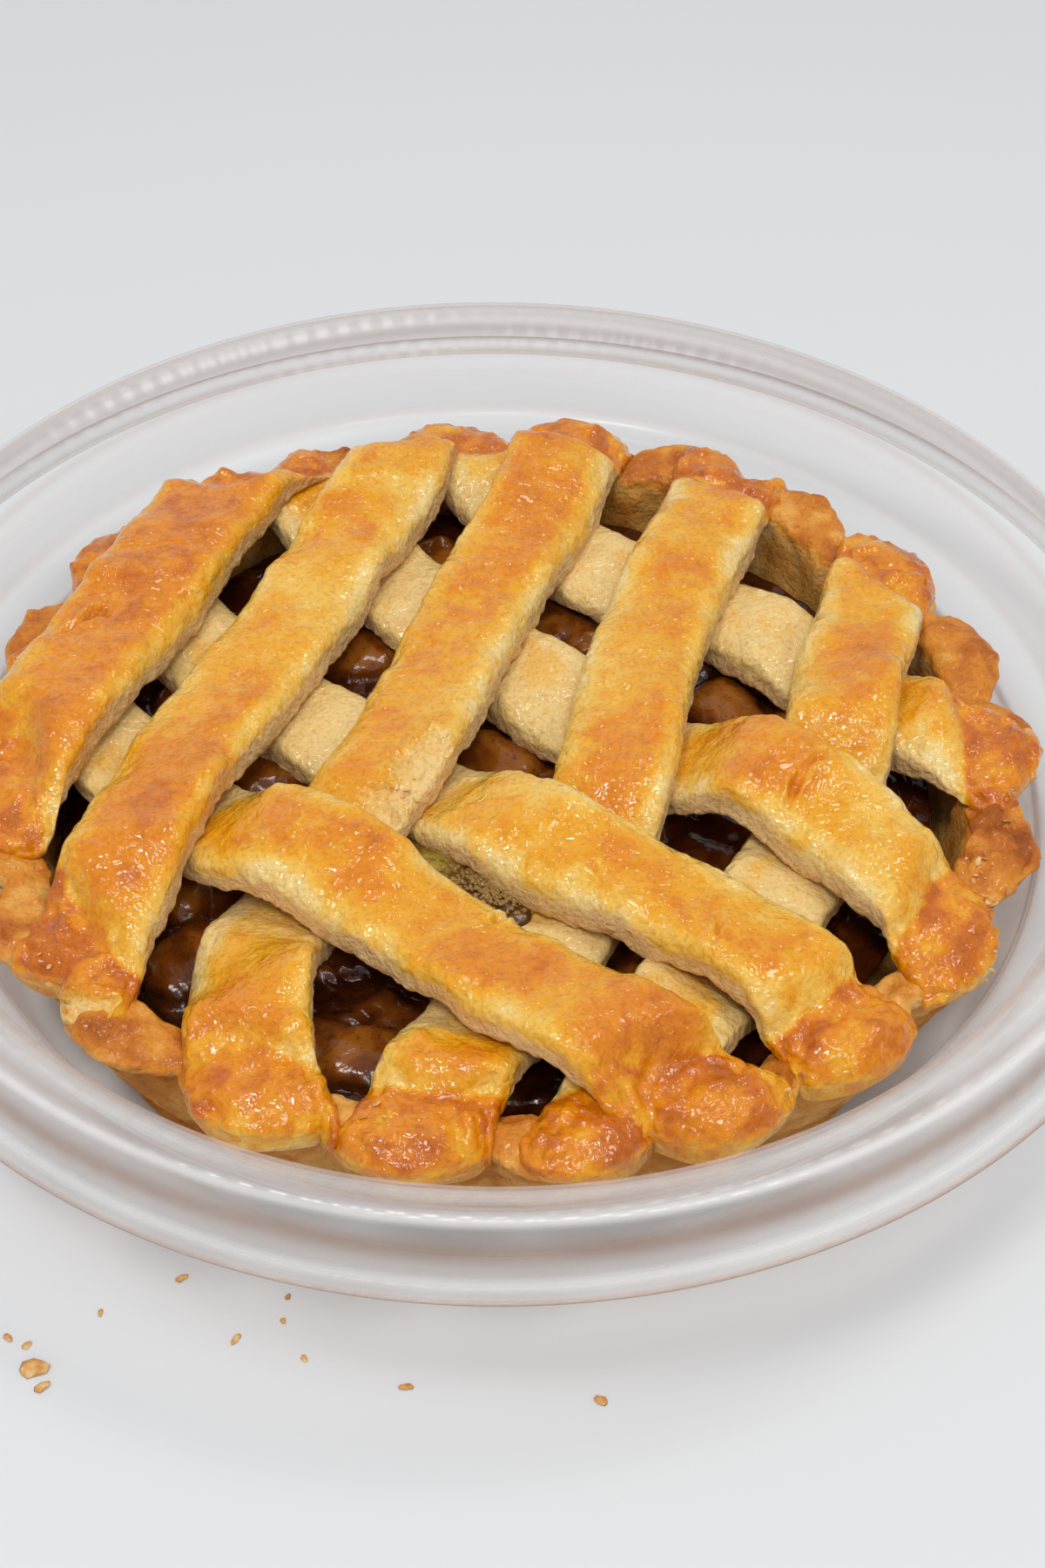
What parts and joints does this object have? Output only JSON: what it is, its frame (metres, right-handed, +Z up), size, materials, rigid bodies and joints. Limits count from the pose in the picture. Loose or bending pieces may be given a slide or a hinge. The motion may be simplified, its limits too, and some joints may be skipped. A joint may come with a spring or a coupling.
{
  "type": "lattice apple pie",
  "caption": "Small round apple pie with a woven lattice top and a fluted pastry rim, sitting in its clear round thermoformed tray.",
  "frame": {"origin": "middle of the tray's flat underside, on the surface it stands on", "axes": "+Z up; -Y towards the viewer of the picture, whose left is -X"},
  "size_m": [0.2096, 0.2096, 0.0412],
  "materials": {
    "clear_sheet": "clear, glossy PET sheet",
    "crust": "baked shortcrust, matte and crumbly",
    "apple": "syrupy baked apple, glossy",
    "dough_strip": "egg-washed baked dough, satin to glossy on top, matte at the sides"
  },
  "bodies": {
    "root": {"tray": "clear_sheet", "pastry_shell": "crust", "apple_filling": "apple", "strip_t4": "dough_strip", "strip_s5": "dough_strip", "strip_t3": "dough_strip", "strip_s4": "dough_strip", "strip_t2": "dough_strip", "strip_s3": "dough_strip", "strip_t1": "dough_strip", "strip_s2": "dough_strip", "strip_s1": "dough_strip"}
  },
  "joints": []
}
